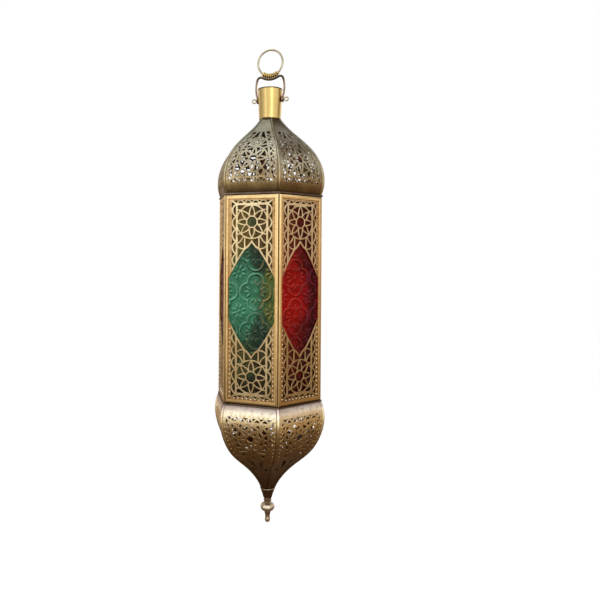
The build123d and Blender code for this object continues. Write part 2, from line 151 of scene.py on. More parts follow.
def loft(rows, closed=False):
    """Skin over rows of points round a section, with two ends or closed on itself."""
    count, n = len(rows), len(rows[0])
    faces = []
    for i in range(count if closed else count - 1):
        a, b = i * n, (i + 1) % count * n
        for j in range(n):
            k = (j + 1) % n
            faces.append((a + j, a + k, b + k, b + j))
    if not closed:
        faces.append(tuple(range(n - 1, -1, -1)))
        faces.append(tuple(range((count - 1) * n, count * n)))
    return [point for row in rows for point in row], faces


def tube(path, radius, sides=12, closed=False):
    """Round tube along points, with frames carried along so that it doesn't twist."""
    path = [Vector(p) for p in path]
    radii = np.broadcast_to(radius, len(path))
    before = [path[-1 if closed else 0]] + path[:-1]
    after = path[1:] + [path[0 if closed else -1]]
    tangents = [(b - a).normalized() for a, b in zip(before, after)]
    side = tangents[0].orthogonal()
    angles = [TAU * k / sides for k in range(sides)]
    rows = []
    for p, t, r in zip(path, tangents, radii):
        side = (side - t * side.dot(t)).normalized()
        other = t.cross(side)
        rows.append([p + (side * math.cos(a) + other * math.sin(a)) * r for a in angles])
    return loft(rows, closed)


def lathe(profile, top, sides=64):
    """Surface turned about Z from points of (radius, drop below the top), closed where the radius is 0."""
    verts, faces, rows = [], [], []
    for r, drop in profile:
        circle = [(0, 0)] if r < 1e-6 else arc((0, 0), r, 0, 360, sides)[:-1]
        rows.append(range(len(verts), len(verts) + len(circle)))
        verts += [(x, y, top - drop) for x, y in circle]
    for a, b in zip(rows, rows[1:]):
        for k in range(sides):
            j = (k + 1) % sides
            quad = [a[k % len(a)], b[k % len(b)], b[j % len(b)], a[j % len(a)]]
            face = [v for i, v in enumerate(quad) if v not in quad[:i]]
            if len(face) > 2:
                faces.append(face)
    return verts, faces


# Pierced sheets
class Pattern:
    """Field over a flat sheet: positive in a hole, negative in the metal."""

    def __init__(self, half_u, low_v, high_v, step=0.13):
        self.step = step
        self.u, self.v = (low - step + step * np.arange(round((high - low) / step) + 3)
                          for low, high in ((-half_u, half_u), (low_v, high_v)))
        self.field = np.full((len(self.u), len(self.v)), 3.0)

    def strip(self, points, half_width, reach=2.4, soft=0.35):
        """Leave a strip of metal along a line of points."""
        points = np.asarray(points, float)
        i, j = (slice(*np.searchsorted(axis, (line.min() - reach, line.max() + reach)))
                for axis, line in zip((self.u, self.v), points.T))
        uu, vv = np.meshgrid(self.u[i], self.v[j], indexing="ij")
        best = np.full(uu.shape, 9.0)
        for a, b in zip(points, points[1:]):
            d = b - a
            length = max(d @ d, 1e-9)
            t = np.clip(((uu - a[0]) * d[0] + (vv - a[1]) * d[1]) / length, 0, 1)
            best = np.minimum(best, np.hypot(uu - a[0] - t * d[0], vv - a[1] - t * d[1]))
        best -= half_width
        old = self.field[i, j]
        h = np.clip(0.5 + 0.5 * (old - best) / soft, 0, 1)
        self.field[i, j] = old * (1 - h) + best * h - soft * h * (1 - h)

    def loops(self, least_area=0.35, tolerance=0.035):
        """Outlines of the holes, each anticlockwise and thinned to few points."""
        f = self.field
        p = f > 0
        code = (p[:-1, :-1] * 1 + p[1:, :-1] * 2 + p[1:, 1:] * 4 + p[:-1, 1:] * 8)
        moves = {1: "bl", 2: "rb", 4: "tr", 8: "lt", 3: "rl", 6: "tb", 12: "lr", 9: "bt",
                 7: "tl", 11: "rt", 13: "br", 14: "lb", 5: "bltr", 10: "rblt"}
        follow = {}
        for i, j in np.argwhere((code > 0) & (code < 15)):
            edges = {"b": (i, j, 0), "t": (i, j + 1, 0), "l": (i, j, 1), "r": (i + 1, j, 1)}
            way = moves[int(code[i, j])]
            for k in range(0, len(way), 2):
                follow[edges[way[k]]] = edges[way[k + 1]]
        found = []
        while follow:
            start = next(iter(follow))
            edge, points = start, []
            while edge in follow:
                i, j, up = edge
                t = self.step * f[i, j] / (f[i, j] - f[i + 1 - up, j + up])
                points.append((self.u[i] + (1 - up) * t, self.v[j] + up * t))
                edge = follow.pop(edge)
            if edge == start and len(points) > 6:
                points = np.array(points)
                x, y = points.T
                if 0.5 * np.sum(x * np.roll(y, -1) - y * np.roll(x, -1)) > least_area:
                    found.append(thinned(points, tolerance))
        return [loop for loop in found if len(loop) > 3]


def thinned(points, tolerance):
    """Drop points of a closed loop that lie within a tolerance of the line between the others."""
    far = int(np.argmax(np.hypot(*(points - points[0]).T)))
    keep = {0, far}
    stack = [(0, far), (far, len(points))]
    ring = np.vstack([points, points[:1]])
    while stack:
        a, b = stack.pop()
        if b - a < 2:
            continue
        d = ring[b] - ring[a]
        off = np.abs((ring[a + 1:b, 0] - ring[a, 0]) * d[1] - (ring[a + 1:b, 1] - ring[a, 1]) * d[0])
        off /= max(np.hypot(*d), 1e-9)
        k = int(np.argmax(off))
        if off[k] > tolerance:
            keep.add(a + 1 + k)
            stack += [(a, a + 1 + k), (a + 1 + k, b)]
    return points[sorted(keep)]


def unit(vectors):
    """Vectors of length 1 along rows of (u, v)."""
    return vectors / np.maximum(np.hypot(vectors[:, 0], vectors[:, 1]), 1e-9)[:, None]


def grown(loop, distance):
    """Move an anticlockwise loop outward by a distance."""
    before, after = unit(loop - np.roll(loop, 1, 0)), unit(np.roll(loop, -1, 0) - loop)
    a, b = (np.stack([d[:, 1], -d[:, 0]], 1) for d in (before, after))
    middle = unit(a + b)
    stretch = np.clip(1 / np.maximum((middle * a).sum(1), 0.3), 1, 1.6)
    return loop + middle * (distance * stretch)[:, None]


def pierced_sheet(outline, loops, bevel):
    """Sheet with holes as (points, faces): u, v and depth behind the face, with bevelled rims."""
    rings = [np.asarray(outline, float)] + loops
    base = np.vstack(rings)
    count = len(base)
    ends = np.cumsum([len(ring) for ring in rings])
    spans = [list(range(end - len(ring), end)) for end, ring in zip(ends, rings)]
    edges = [edge for span in spans for edge in zip(span, span[1:] + span[:1])]
    out = geometry.delaunay_2d_cdt([Vector(p) for p in base], edges, spans, 1, 1e-6)
    source = [origins[0] for origins in out[3]]
    triangles = [[source[k] for k in face] for face, origins in zip(out[2], out[5]) if origins == [0]]
    top = np.vstack([grown(rings[0], -bevel)] + [grown(ring, bevel) for ring in rings[1:]])
    layers = ((top, 0.0), (base, bevel), (base, SHEET_THICK))
    verts = np.vstack([np.column_stack([layer, np.full(count, depth)]) for layer, depth in layers])
    faces = []
    for a, b, c in triangles:
        faces.append((a, b, c))
        faces.append((2 * count + a, 2 * count + c, 2 * count + b))
    for p, q in [edge[::-1] for edge in edges[:ends[0]]] + edges[ends[0]:]:
        faces.append((p, q, count + q, count + p))
        faces.append((count + p, count + q, 2 * count + q, 2 * count + p))
    return verts, faces


def bead_row(centres, place_point, radius=0.85, rise=0.62):
    """Round beads raised on a sheet: points and faces, placed by a function of u, v and depth."""
    profile = ((0, 1), (0.36, 0.94), (0.72, 0.7), (0.96, 0.25), (1, -0.3), (0, -0.3))
    bead, skin = lathe([(radius * share, rise * out) for share, out in profile], top=0, sides=8)
    flat, faces = joined(*[(np.array(bead) + (u, v, 0), skin) for u, v in centres])
    return place_point(*np.array(flat).T), faces


# Half of a petal, from its belly to its tip: shares of the rosette's radius and of the belly's half width
PETAL = ((0.42, 1.0), (0.53, 1.03), (0.65, 0.90), (0.78, 0.62), (0.9, 0.26), (1.0, 0.0))


def rosette(pattern, centre, radius, petals=8, ring=0.315, half=0.62, turn=0.0, fat=1.1):
    """Star of leaf petals round a hole, in a circle."""
    cu, cv = centre

    def at(r, angle, across=0.0):
        return (cu + r * math.cos(angle) - across * math.sin(angle),
                cv + r * math.sin(angle) + across * math.cos(angle))

    foot = math.pi / petals
    corner = radius * ring / math.cos(foot)
    belly = radius * fat / petals
    pattern.strip([at(corner, TAU * (k + 0.5) / petals + turn) for k in range(petals + 1)], half)
    for k in range(petals):
        tip = TAU * k / petals + turn
        for side in (1, -1):
            leaf = [at(radius * r, tip, side * belly * w) for r, w in PETAL]
            pattern.strip([at(corner, tip + side * foot)] + leaf, half)
    pattern.strip(arc(centre, radius, 0, 360, 48), half)


def chain(pattern, line, normal, depth, half):
    """Row of arches standing on a line of points, each as wide as the step between them."""
    fullness = 0.62
    line, normal = np.asarray(line, float), np.asarray(normal, float)
    for a, b in zip(line, line[1:]):
        pattern.strip([a + (b - a) * t + normal * depth * math.sin(math.pi * t) ** fullness
                       for t in np.linspace(0, 1, 13)], half)


# Shader nodes
MATERIALS = {}


def set_sockets(tree, node, sockets):
    """Give sockets of a node a value, a colour or a link."""
    for key, value in sockets.items():
        socket = node.inputs[key]
        if isinstance(value, bpy.types.NodeSocket):
            tree.links.new(value, socket)
        elif socket.type == "RGBA":
            socket.default_value = (*value, 1)
        else:
            socket.default_value = value


def add_node(tree, kind, sockets, **properties):
    """New shader node with its properties and sockets set."""
    node = tree.nodes.new("ShaderNode" + kind)
    for key, value in properties.items():
        setattr(node, key, value)
    set_sockets(tree, node, sockets)
    return node


def shader(name):
    """New material, kept by its name, as its node tree and its main shader."""
    MATERIALS[name] = bpy.data.materials.new(name)
    MATERIALS[name].use_nodes = True
    tree = MATERIALS[name].node_tree
    return tree, tree.nodes["Principled BSDF"]


def object_coords(tree):
    """Coordinates that stay with the object."""
    return add_node(tree, "TexCoord", {}).outputs["Object"]


def noise(tree, coords, scale, detail=4.0, rough=0.55):
    """Noise of a scale per metre."""
    sockets = {"Scale": scale, "Detail": detail, "Roughness": rough, "Vector": coords}
    return add_node(tree, "TexNoise", sockets).outputs["Fac"]


def ramp(tree, value, stops):
    """Colour that follows a value between stops."""
    node = add_node(tree, "ValToRGB", {"Fac": value})
    elements = node.color_ramp.elements
    while len(elements) < len(stops):
        elements.new(0.5)
    for element, (position, colour) in zip(elements, stops):
        element.position = position
        element.color = (*colour, 1)
    return node.outputs["Color"]


def grey_ramp(tree, value, start, low, end, high):
    """Ramp from one grey to another."""
    return ramp(tree, value, [(start, (low,) * 3), (end, (high,) * 3)])


def mixed(tree, factor, a, b, blend="MIX"):
    """Blend of two colours."""
    node = add_node(tree, "Mix", {0: factor, 6: a, 7: b}, data_type="RGBA", blend_type=blend)
    return node.outputs[2]


def maths(tree, kind, a, b=0.0):
    """Sum of some kind on two values."""
    return add_node(tree, "Math", {0: a, 1: b}, operation=kind).outputs[0]


def bumped(tree, height, strength, distance):
    """Normal that follows a height over a distance in millimetres."""
    sockets = {"Strength": strength, "Distance": distance * MM, "Height": height}
    return add_node(tree, "Bump", sockets).outputs["Normal"]


def by_height(tree, coords, stops):
    """Tint that follows the height on the lantern: stops of (z in mm, colour), from the lowest up."""
    low, high = stops[0][0], stops[-1][0]
    height = add_node(tree, "SeparateXYZ", {"Vector": coords}).outputs["Z"]
    span = add_node(tree, "MapRange", {"Value": height, "From Min": low * MM, "From Max": high * MM})
    return ramp(tree, span.outputs["Result"], [((z - low) / (high - low), c) for z, c in stops])


def on_border(tree, coords):
    """Mask of the plain border round a panel's fret."""
    split = add_node(tree, "SeparateXYZ", {"Vector": coords})
    across = maths(tree, "SUBTRACT", maths(tree, "ABSOLUTE", split.outputs["X"]), BORDER_U * MM)
    height = maths(tree, "ABSOLUTE", maths(tree, "SUBTRACT", split.outputs["Z"], BODY_MID * MM))
    beyond = maths(tree, "MAXIMUM", across, maths(tree, "SUBTRACT", height, BORDER_V * MM))
    span = add_node(tree, "MapRange", {"Value": beyond, "From Max": BORDER_FADE * MM})
    return span.outputs["Result"]


def plainly_seen(tree):
    """1 for rays from the camera and for those that metal and glass pass on."""
    rays = add_node(tree, "LightPath", {}).outputs
    seen = maths(tree, "MAXIMUM", rays["Is Camera Ray"], rays["Is Glossy Ray"])
    return maths(tree, "MAXIMUM", seen, rays["Is Transmission Ray"])


# Materials
DRIFT_SCALE, GRAIN_SCALE, SPECK_SCALE = 55, 900, 260
GLASS_DRIFT_SCALE, SEED_SCALE = 45, 420


def brass(name, bright, dull, dark, rough=(0.26, 0.42), grain=0.25, crevice=4.0, streak=(1, 1, 1),
          patina=0.4, tints=None, border=None):
    """Worn brass: tone drifts between bright and dull, painted shade darkens the crevices towards the dark
    patina colour, fine grain in the bump.
    """
    tree, surface = shader(name)
    coords = object_coords(tree)
    streaked = add_node(tree, "Mapping", {"Vector": coords, "Scale": streak}).outputs["Vector"]
    drift = noise(tree, streaked, DRIFT_SCALE, 5, 0.6)
    fine = noise(tree, streaked, GRAIN_SCALE, 3, 0.6)
    specks = noise(tree, coords, SPECK_SCALE, 4, 0.65)
    tone = ramp(tree, drift, [(0.34, dull), (0.62, bright)])
    if tints:
        tone = mixed(tree, 1.0, tone, by_height(tree, coords, tints), "MULTIPLY")
    if border:
        tone = mixed(tree, on_border(tree, coords), tone, mixed(tree, 1.0, tone, border, "MULTIPLY"))
    spots = grey_ramp(tree, specks, 0.52, 0, 0.72, 1)
    tone = mixed(tree, maths(tree, "MULTIPLY", spots, patina), tone, dark)
    # Painted shade: hollows found by ambient occlusion are darkened towards the dark colour.
    hidden = add_node(tree, "AmbientOcclusion", {"Distance": crevice * MM}, samples=6)
    soot = maths(tree, "MULTIPLY", grey_ramp(tree, hidden.outputs["AO"], 0.25, 1, 0.8, 0), 0.8)
    set_sockets(tree, surface, {
        "Base Color": mixed(tree, soot, tone, dark),
        "Roughness": grey_ramp(tree, specks, 0.35, rough[0], 0.7, rough[1]),
        "Metallic": 1.0,
        "Normal": bumped(tree, maths(tree, "ADD", maths(tree, "MULTIPLY", fine, 0.6), specks), grain, 0.15),
    })


def pressed_glass(name, colour, deep, line, shadow, soot, edge=0.0, ends=0.0):
    """Coloured pressed glass: painted highlights on the lit lines, painted shade in their lee and behind
    the fretwork.

    Painted shade deepens it towards its right edge and towards the window's two ends by the given shares.
    """
    tree, surface = shader(name)
    coords = object_coords(tree)
    drift = noise(tree, coords, GLASS_DRIFT_SCALE, 3, 0.5)
    seeds = noise(tree, coords, SEED_SCALE, 3, 0.6)

    def painted(layer):
        return add_node(tree, "Attribute", {}, attribute_name=layer).outputs["Fac"]

    tone = ramp(tree, drift, [(0.36, deep), (0.62, colour)])
    # Painted shade towards the right edge and towards the window's ends.
    for layer, share in (("edge", edge), ("ends", ends)):
        tone = mixed(tree, maths(tree, "MULTIPLY", painted(layer), share), tone, shadow)
    # Painted shade behind the fretwork and in the lee of the lines, then painted highlights on their lit
    # sides.
    for layer, layer_colour in (("sooty", soot), ("shade", shadow), ("raised", line)):
        tone = mixed(tree, painted(layer), tone, layer_colour)
    tone = mixed(tree, 1.0, tone, tone, "MULTIPLY")
    set_sockets(tree, surface, {
        "Base Color": mixed(tree, painted("inner"), tone, (1, 1, 1)),
        "Roughness": grey_ramp(tree, seeds, 0.4, 0.15, 0.7, 0.26),
        "Transmission Weight": 0.95,
        "IOR": 1.25,
        "Specular IOR Level": 0.14,
        "Normal": bumped(tree, maths(tree, "ADD", seeds, drift), 0.16, 0.2),
    })


# Painted light by height, from the lowest up
WHITE = (1.0, 1.0, 1.0)
# Upper dome: painted shade on the band under its bulge, a painted pale sky reflection on the bulge, going
# bluish towards the top
UPPER_PAINTED_LIGHT = [(-146, (0.22, 0.165, 0.11)), (-139, (0.31, 0.235, 0.145)), (-133, (0.63, 0.56, 0.46)),
               (-118, (0.67, 0.685, 0.73)), (-100, (0.49, 0.535, 0.62)), (-68, (0.28, 0.305, 0.355))]
# Lower dome: a painted shadow just under the body, a painted pale reflection on the upward band below it,
# and painted shade darkening towards the tip
LOWER_PAINTED_LIGHT = [(-446, (0.16, 0.10, 0.065)), (-425, (0.20, 0.125, 0.075)), (-400, (0.30, 0.195, 0.105)),
               (-380, (0.52, 0.37, 0.20)), (-362, (0.86, 0.70, 0.43)), (-357, (0.99, 0.90, 0.68)),
               (-352, (1.0, 0.97, 0.88)), (-350, (0.76, 0.70, 0.68)), (-347, (0.46, 0.41, 0.43)),
               (-346, (0.52, 0.47, 0.47))]
# Finial: painted highlights on the ball and the tip, darker on the stem and the collar between them
TIP_PAINTED_LIGHT = [(-471, WHITE), (-466, (0.92, 0.86, 0.76)), (-461, (0.56, 0.46, 0.33)), (-457, WHITE),
             (-453, WHITE), (-451, (0.46, 0.39, 0.30)), (-446, (0.42, 0.34, 0.26)), (-438, (0.9, 0.9, 0.9))]
# Bail: painted shade on the saddle under the lashing, and a little towards the eyes
BAIL_PAINTED_SHADE = [(-52, (0.55, 0.52, 0.50)), (-46, WHITE), (-34, WHITE), (-29, (0.30, 0.28, 0.26)),
              (-26, (0.30, 0.28, 0.26))]
# Beads: painted highlights brightest over the lower half of the body, painted shade down the lower dome
BEAD_PAINTED_LIGHT = [(-446, (0.30, 0.20, 0.12)), (-400, (0.40, 0.29, 0.17)), (-372, (0.86, 0.74, 0.52)),
              (-345, WHITE), (-290, WHITE), (-210, (0.78, 0.66, 0.50)), (-147, (0.72, 0.60, 0.46))]
# Frames and frets: painted shade darkening towards the bottom of the body
PANEL_PAINTED_SHADE = [(-345, (0.53, 0.46, 0.38)), (-300, (0.68, 0.60, 0.50)), (-200, (0.92, 0.87, 0.80)),
               (-147, WHITE)]
brass("wire_pale", (0.62, 0.55, 0.38), (0.45, 0.38, 0.25), (0.10, 0.07, 0.04), crevice=1.5)
brass("wire_dark", (0.40, 0.28, 0.17), (0.25, 0.16, 0.09), (0.06, 0.04, 0.025), rough=(0.3, 0.5),
      crevice=1.5, tints=BAIL_PAINTED_SHADE)
brass("wire_brass", (0.83, 0.60, 0.20), (0.62, 0.41, 0.12), (0.12, 0.07, 0.03), crevice=1.2)
brass("brass_bright", (0.86, 0.66, 0.24), (0.72, 0.52, 0.20), (0.30, 0.18, 0.06), rough=(0.29, 0.34),
      grain=0.04, patina=0.08, streak=(1, 1, 0.3))
brass("brass_dome", (0.72, 0.62, 0.40), (0.50, 0.40, 0.24), (0.07, 0.045, 0.02), tints=UPPER_PAINTED_LIGHT)
brass("brass_dark", (1.0, 0.93, 0.80), (0.82, 0.72, 0.56), (0.05, 0.025, 0.012), tints=LOWER_PAINTED_LIGHT)
brass("brass_frame", (0.98, 0.73, 0.36), (0.84, 0.58, 0.26), (0.14, 0.07, 0.03), streak=(1, 1, 0.25),
      crevice=1.5, patina=0.25, tints=PANEL_PAINTED_SHADE)
brass("brass_fret", (0.83, 0.70, 0.43), (0.64, 0.475, 0.25), (0.14, 0.07, 0.03), crevice=2.0,
      tints=PANEL_PAINTED_SHADE, border=(0.74, 0.58, 0.44))
# Beads are paler than the fret brass as a painted highlight.
brass("brass_bead", (1.0, 0.92, 0.70), (0.92, 0.80, 0.54), (0.30, 0.18, 0.08), crevice=0.6,
      tints=BEAD_PAINTED_LIGHT)
brass("brass_seam", (0.110, 0.072, 0.042), (0.070, 0.045, 0.026), (0.02, 0.013, 0.008),
      rough=(0.55, 0.8))
brass("brass_tip", (0.80, 0.69, 0.54), (0.52, 0.40, 0.26), (0.10, 0.06, 0.03), crevice=2.0,
      tints=TIP_PAINTED_LIGHT)
# Dark brass as painted shade, for the plates at the joints of the domes and the body and for the neck's lip
brass("brass_plate", (0.17, 0.12, 0.08), (0.10, 0.07, 0.05), (0.03, 0.02, 0.015))
# Glass colours in turn: body, deeper tone, painted highlight, painted shade, painted shade behind the
# fretwork; edge and ends add painted shade.
pressed_glass("glass_green", (0.185, 0.445, 0.30), (0.12, 0.315, 0.205), (0.66, 0.88, 0.78),
              (0.05, 0.15, 0.10), (0.48, 0.375, 0.155), ends=0.7)
pressed_glass("glass_red", (0.61, 0.009, 0.034), (0.49, 0.005, 0.019), (0.88, 0.10, 0.16),
              (0.24, 0.004, 0.007), (0.44, 0.12, 0.085), edge=0.9)
pressed_glass("glass_blue", (0.010, 0.050, 0.25), (0.006, 0.032, 0.18), (0.06, 0.20, 0.45),
              (0.015, 0.02, 0.09), (0.16, 0.16, 0.18))
pressed_glass("glass_amber", (0.48, 0.215, 0.022), (0.36, 0.155, 0.016), (0.64, 0.41, 0.11),
              (0.20, 0.10, 0.02), (0.34, 0.22, 0.11))
SLOTS = {subpart["node"]: subpart["material_slot"] for subpart in frame["record"]["subparts"]}
# The plates at the domes' joints take the dark brass as painted shade.
for name, obj in nodes.items():
    obj.data.materials.clear()
    obj.data.materials.append(MATERIALS["brass_plate" if name.endswith("_plate") else SLOTS[name]])


# Fret sheets
def window_edge(u):
    """Height of the window's upper edge above the panel's middle."""
    return np.interp(np.abs(u), [0, 1.6, 3.6, 6.9, 10.4, 13.8, 18.2, 22.6, 24.8],
                     [54.2, 51.9, 49.6, 47.3, 42.4, 37.3, 29.7, 21.8, 17.6])


def on_panel(u, v, depth):
    """Points on the face of the front panel's fret."""
    return np.column_stack([u, -APOTHEM + FRET_DEPTH + depth, BODY_MID + v])


def fret_mesh():
    """One pierced fret: window, rosettes, fans, arched chains and a plain border."""
    pattern = Pattern(FRET_U, -FRET_V, FRET_V)
    bar_u, bar_v, bar_foot = 15.3, 89.2, 34.0
    edge_u, edge_v = 20.4, 92.6
    thin, lead, slant, arch_pitch = 0.66, 1.1, 0.62, 11.7
    fan = [
        [(6.9, 47.8), (9.6, 47.2), (12.6, 48.2), (15.2, 50.6)],
        [(6.9, 47.8), (7.3, 52.6), (7.0, 58.2)],
        [(15.2, 51.6), (11.2, 54.6), (8.4, 58.8)],
        [(15.2, 60.8), (11.0, 61.5)],
        [(15.2, 84.0), (11.0, 83.5)],
        [(6.0, 88.4), (8.2, 85.8)],
    ]
    bars = [([(bar_u, bar_foot), (bar_u, bar_v)], 1.0),
            ([(u, window_edge(u)) for u in np.linspace(0, 24.6, 40)], 0.95)]
    bars += [(line, thin) for line in fan]
    bars += [([(bar_u, bar_v), (edge_u, edge_v)], 0.9)]
    arch_feet = [(bar_u, v) for v in bar_v - arch_pitch * np.arange(6)]
    for up in (1, -1):
        rosette(pattern, (0, up * ROSETTE_V), radius=15.6, ring=0.335, half=0.64, fat=1.3)
        pattern.strip([(-bar_u, up * bar_v), (bar_u, up * bar_v)], 1.15)
        for side in (1, -1):
            quarter = np.array((side, up))
            for line, half_width in bars:
                pattern.strip(quarter * line, half_width)
            chain(pattern, quarter * arch_feet, (side, 0), edge_u - bar_u - 0.6, half=0.78)
        row = [(u, up * bar_v) for u in np.linspace(-bar_u, bar_u, 5)]
        chain(pattern, row, (0, up), edge_v - bar_v + 0.1, half=0.6)
    uu, vv = np.meshgrid(pattern.u, pattern.v, indexing="ij")
    inside_border = np.minimum(edge_u - np.abs(uu), edge_v - np.abs(vv))
    gap = (window_edge(uu) - lead - np.abs(vv)) * slant
    window = np.minimum(gap, OPENING_U + 0.1 - np.abs(uu))
    pattern.field = np.maximum(np.minimum(pattern.field, inside_border), window)
    points, faces = pierced_sheet(CORNERS * (FRET_U, FRET_V), pattern.loops(), bevel=0.22)
    return on_panel(*points.T), faces


BEAD_U, BEAD_V, BEAD_PITCH = 21.9, 93.1, 4.25
bead_places = [(side * BEAD_U, up * v) for side in (1, -1) for up in (1, -1)
               for v in np.arange(28.2, 92.0, BEAD_PITCH)]
bead_places += [(u, up * BEAD_V) for up in (1, -1) for u in np.arange(-17.0, 17.1, BEAD_PITCH)]
fret = new_object("front_fret_sheet", fret_mesh(), "brass_fret")
place_round(fret, PANELS, "brass_fret", "front_fret")
beads = new_object("front_fret_beads", bead_row(bead_places, on_panel), "brass_bead", 60)
place_round(beads, PANELS, "brass_fret")


# Domes
class Dome:
    """Bent gore surface: u across, s along the profile from the body."""

    def __init__(self, node, start, end):
        """Profile of the ridges, found by looking in along X at the CAD ribs."""
        self.start, self.rise = start, 1 if end > start else -1
        self.h = np.linspace(0, abs(end - start), 90)
        look_from, inset = 100.0, 0.05
        eyes = [Vector((look_from, 0, start + self.rise * h)) * MM
                for h in np.clip(self.h, inset, self.h[-1] - inset)]
        hits = [nodes[node].ray_cast(eye, Vector((-1, 0, 0)))[1] for eye in eyes]
        self.r = np.array([hit.x / MM - RIB_PROUD for hit in hits])
        self.face = self.r * COS_30
        self.s = np.concatenate([[0], np.cumsum(np.hypot(np.diff(self.h), np.diff(self.face)))])
        self.length = self.s[-1]

    def half_width(self, s):
        """Half of a gore's width from seam to seam."""
        return np.interp(s, self.s, self.r) / 2

    def outward(self, faces):
        """Faces that look outward, from faces wound for a dome above the body."""
        return faces if self.rise > 0 else [face[::-1] for face in faces]

    def at(self, u, s, depth):
        """Points on the front gore, set back by a depth along its normal."""
        def profile(s):
            return np.interp(s, self.s, self.face), np.interp(s, self.s, self.h)

        near = 0.9
        y, h = profile(s)
        dy, dh = np.subtract(profile(s + near), profile(s - near))
        size = np.hypot(dy, dh)
        z = self.start + self.rise * (h + depth * dy / size)
        return np.column_stack([u, -(y - depth * dh / size), z])


def gore_mesh(dome, band, top, centre, radius, crown, crown_radius, arches, row, shrink, inner):
    """One pierced gore: plain band by the body, arched rows, a rosette and a smaller one beyond it."""
    seam, border, arch, arch_pitch = 1.55, 4.8, 4.4, 6.4
    thin, brace_width, bar_width, arch_width = 0.74, 0.6, 1.0, 0.62
    pattern = Pattern(30.0, 0.0, dome.length)

    def bar(s):
        """Half of the width between the bars inside the two borders."""
        return dome.half_width(s) - border - arch

    def to_bar(s):
        return bar(s), s

    low = band + row + 0.5
    wide = bar(low)
    shoulder = centre + radius * 0.92
    joint = crown - crown_radius - 0.4
    crown_top = crown + crown_radius
    bar_line = [to_bar(s) for s in np.arange(low, top, 0.5) if bar(s) > 0.3]
    arch_feet = [to_bar(s) for s in low + arch_pitch * np.arange(14) if s < top and bar(s) > 0.6]
    lines = [
        ([(wide, low), (wide + arch, band)], bar_width),
        (arc((wide, low), 6.6, 180, 90, 8), thin),
        ([(wide, low), (radius * 0.72, centre - radius * 0.72)], thin),
        ([(radius * 0.55, centre + radius * 0.86), to_bar(shoulder)], thin),
        ([(0, joint), (4.0, joint + 0.6), to_bar(joint + 2.0)], thin),
        ([(crown_radius, crown), to_bar(crown + 1.0)], thin),
        ([(radius, centre), to_bar(centre)], thin),
        ([(radius * 0.95, centre - radius * 0.3), to_bar(centre - 7.0)], brace_width),
        ([(radius * 0.95, centre + radius * 0.3), to_bar(centre + 7.0)], brace_width),
        ([(5.4, low), (4.6, centre - radius)], thin),
        ([(5.4, centre - radius), (9.6, low), (12.4, low + 6.0)], thin),
        ([(3.0, crown - crown_radius), (6.4, crown - 2.4), to_bar(crown + 5.0)], thin),
        ([(0, crown_top), (0.9, crown_top + 3.0), (0, top + 1.0)], thin),
    ]
    pattern.strip([(-wide, low), (wide, low)], bar_width)
    row_feet = [(u, low) for u in np.linspace(-wide, wide, arches + 1)]
    chain(pattern, row_feet, (0, -1), row, arch_width)
    rosette(pattern, (0, centre), radius, half=0.82)
    if inner:
        pattern.strip(arc((0, centre), inner, 0, 360, 60), 0.5)
    rosette(pattern, (0, crown), crown_radius, petals=6, half=thin, ring=0.36, turn=math.pi / 6)
    for side in (1, -1):
        flip = np.array((side, 1))
        pattern.strip(flip * bar_line, bar_width)
        chain(pattern, flip * arch_feet, (side, 0), arch - 0.3, arch_width)
        for line, half_width in lines:
            pattern.strip(flip * line, half_width)
    uu, ss = np.meshgrid(pattern.u, pattern.v, indexing="ij")
    heights, shares = [low, 22.0, 32.0, 39.0, 50.0, top], [0.15, 0.35, 0.45, 0.95, 1.2, 0.95]
    pattern.field -= shrink * np.interp(ss, heights, shares)
    inside_border = dome.half_width(ss) - border - np.abs(uu)
    pattern.field = np.min([pattern.field, inside_border, ss - band, top - ss], axis=0)
    rows = np.linspace(0, dome.length, 70)
    edge = np.column_stack([dome.half_width(rows) - seam / COS_30, rows])
    outline = np.vstack([edge, (edge * (-1, 1))[::-1]])
    return bent(dome, *pierced_sheet(outline, pattern.loops(), bevel=0.2))


def bent(dome, points, faces):
    """Points and faces of a flat sheet, cut into narrow rows and bent over a dome."""
    first_cut, cut_step = 1.5, 1.6
    sheet = bmesh.new()
    corners = [sheet.verts.new(p) for p in points]
    for face in faces:
        sheet.faces.new([corners[k] for k in face])
    for s in np.arange(first_cut, dome.length, cut_step):
        everything = sheet.verts[:] + sheet.edges[:] + sheet.faces[:]
        bmesh.ops.bisect_plane(sheet, geom=everything, dist=1e-4, plane_co=(0, s, 0), plane_no=(0, 1, 0))
    sheet.verts.index_update()
    flat = np.array([v.co for v in sheet.verts])
    cut_faces = [[v.index for v in face.verts] for face in sheet.faces]
    sheet.free()
    return dome.at(*flat.T), dome.outward(cut_faces)


def rib_mesh(dome):
    """Six rounded ridge ribs over the seams."""
    section = [(1.3, -1.3), (1.3, 0.25), (1.05, 0.58), (0.6, 0.76), (0, RIB_PROUD), (-0.6, 0.76),
               (-1.05, 0.58), (-1.3, 0.25), (-1.3, -1.3)]
    heights = np.linspace(0, dome.h[-1], 60)
    rows = [[(r + out, across, dome.start + dome.rise * h) for across, out in section]
            for h, r in zip(heights, np.interp(heights, dome.h, dome.r))]
    points, faces = loft(rows)
    return joined(*[(turned(points, turn), dome.outward(faces)) for turn in TURNS.values()])


def gore_beads(dome):
    """Beads along the borders and the band of the front gore."""
    inset, band_s, pitch = 3.35, 9.0, 4.6
    places = [(side * (dome.half_width(s) - inset), s) for side in (1, -1)
              for s in np.arange(12.0, 56.0, pitch)]
    places += [(u, band_s) for u in np.arange(-18.4, 18.5, pitch)]
    points, faces = bead_row(places, dome.at, radius=0.75, rise=0.5)
    return points, dome.outward(faces)


